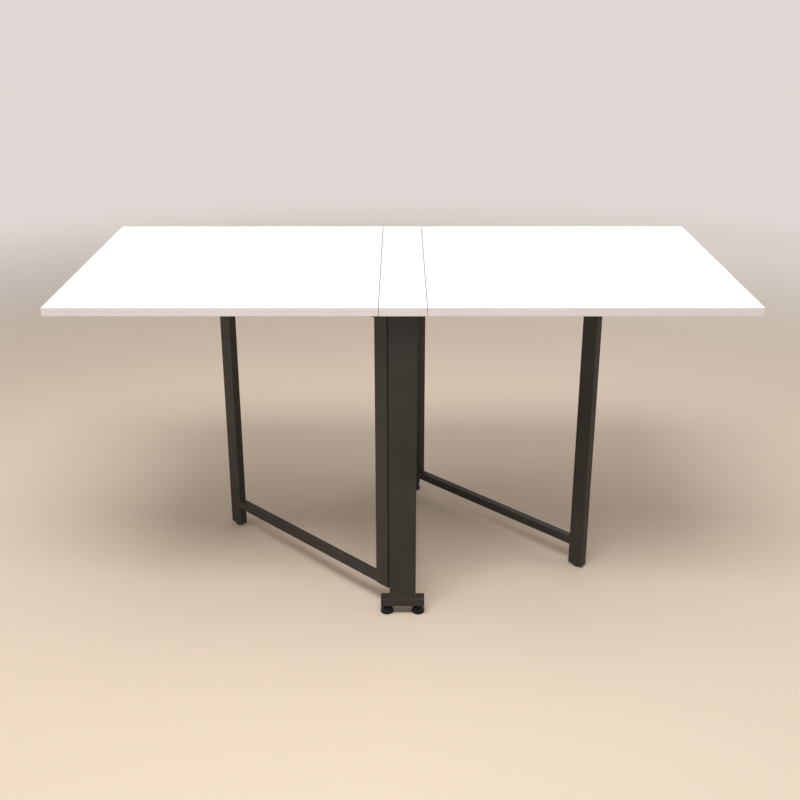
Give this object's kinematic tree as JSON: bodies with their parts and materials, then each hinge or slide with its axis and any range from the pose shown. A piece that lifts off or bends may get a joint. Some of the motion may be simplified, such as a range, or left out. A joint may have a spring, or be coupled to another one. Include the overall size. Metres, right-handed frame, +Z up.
{
  "type": "gateleg table",
  "caption": "Rectangular gateleg table: a narrow fixed centre on two steel posts, with a hinged leaf each side held up by a swing-out gate leg.",
  "frame": {"origin": "on the floor under the middle of the centre board", "axes": "+X along the opened table to the right, +Y from the front post to the rear post, +Z up"},
  "size_m": [1.484, 0.735, 0.75],
  "materials": {
    "white_laminate": "satin white melamine on particle board",
    "edge_band": "satin off-white edge banding",
    "charcoal_powder_coat": "fine-textured satin powder coat, warm charcoal",
    "zinc_steel": "bright zinc plating",
    "black_nylon": "moulded satin black nylon",
    "glossy_black_plastic": "glossy black moulded plastic"
  },
  "bodies": {
    "centre_frame": {"centre_board": "white_laminate", "centre_board_edge_band": "edge_band", "centre_board_screws": "zinc_steel", "foot_bar_end_caps": "black_nylon", "foot_bar_weld_nuts": "zinc_steel", "front_foot_bar": "charcoal_powder_coat", "front_lower_pivot_bracket": "charcoal_powder_coat", "front_post": "charcoal_powder_coat", "front_upper_pivot_bracket": "charcoal_powder_coat", "leaf_hinge_pins": "zinc_steel", "left_hinge_a_fixed_half": "zinc_steel", "left_hinge_b_fixed_half": "zinc_steel", "lower_pivot_pins": "zinc_steel", "lower_stretcher": "charcoal_powder_coat", "mounting_plates": "charcoal_powder_coat", "rear_foot_bar": "charcoal_powder_coat", "rear_lower_pivot_bracket": "charcoal_powder_coat", "rear_post": "charcoal_powder_coat", "rear_upper_pivot_bracket": "charcoal_powder_coat", "right_hinge_a_fixed_half": "zinc_steel", "right_hinge_b_fixed_half": "zinc_steel", "upper_pivot_bolts": "zinc_steel", "upper_stretcher": "charcoal_powder_coat"},
    "left_leaf": {"left_hinge_a_moving_half": "zinc_steel", "left_hinge_b_moving_half": "zinc_steel", "left_leaf_board": "white_laminate", "left_leaf_edge_band": "edge_band", "left_leaf_screws": "zinc_steel", "left_leaf_stop_block": "black_nylon"},
    "right_leaf": {"right_hinge_a_moving_half": "zinc_steel", "right_hinge_b_moving_half": "zinc_steel", "right_leaf_board": "white_laminate", "right_leaf_edge_band": "edge_band", "right_leaf_screws": "zinc_steel", "right_leaf_stop_block": "black_nylon"},
    "left_gate": {"left_gate_bottom_rail": "charcoal_powder_coat", "left_gate_foot_plug": "black_nylon", "left_gate_leg": "charcoal_powder_coat", "left_gate_lower_bush": "black_nylon", "left_gate_stile": "charcoal_powder_coat", "left_gate_support_pad": "black_nylon", "left_gate_top_rail": "charcoal_powder_coat", "left_gate_upper_bush": "black_nylon"},
    "right_gate": {"right_gate_bottom_rail": "charcoal_powder_coat", "right_gate_foot_plug": "black_nylon", "right_gate_leg": "charcoal_powder_coat", "right_gate_lower_bush": "black_nylon", "right_gate_stile": "charcoal_powder_coat", "right_gate_support_pad": "black_nylon", "right_gate_top_rail": "charcoal_powder_coat", "right_gate_upper_bush": "black_nylon"},
    "front_left_foot": {"front_left_foot_pad": "glossy_black_plastic", "front_left_foot_stud": "zinc_steel"},
    "front_right_foot": {"front_right_foot_pad": "glossy_black_plastic", "front_right_foot_stud": "zinc_steel"},
    "rear_left_foot": {"rear_left_foot_pad": "glossy_black_plastic", "rear_left_foot_stud": "zinc_steel"},
    "rear_right_foot": {"rear_right_foot_pad": "glossy_black_plastic", "rear_right_foot_stud": "zinc_steel"}
  },
  "joints": [
    {"name": "left_gate_swing", "type": "hinge", "parent": "centre_frame", "child": "left_gate", "pos_m": [-0.041, -0.2895, 0.39], "axis": [0, 0, -1], "range_deg": [0, 44.7]},
    {"name": "right_gate_swing", "type": "hinge", "parent": "centre_frame", "child": "right_gate", "pos_m": [0.041, 0.2895, 0.39], "axis": [0, 0, -1], "range_deg": [0, 44.7]},
    {"name": "left_leaf_lift", "type": "hinge", "parent": "centre_frame", "child": "left_leaf", "pos_m": [-0.0505, 0, 0.729], "axis": [0, 1, 0], "range_deg": [0, 2.4]},
    {"name": "right_leaf_lift", "type": "hinge", "parent": "centre_frame", "child": "right_leaf", "pos_m": [0.0505, 0, 0.729], "axis": [0, -1, 0], "range_deg": [0, 2.4]},
    {"name": "front_left_foot_screw", "type": "slide", "parent": "centre_frame", "child": "front_left_foot", "axis": [0, 0, -1], "range_m": [-0.003, 0.008]},
    {"name": "front_right_foot_screw", "type": "slide", "parent": "centre_frame", "child": "front_right_foot", "axis": [0, 0, -1], "range_m": [-0.003, 0.008]},
    {"name": "rear_left_foot_screw", "type": "slide", "parent": "centre_frame", "child": "rear_left_foot", "axis": [0, 0, -1], "range_m": [-0.003, 0.008]},
    {"name": "rear_right_foot_screw", "type": "slide", "parent": "centre_frame", "child": "rear_right_foot", "axis": [0, 0, -1], "range_m": [-0.003, 0.008]}
  ]
}
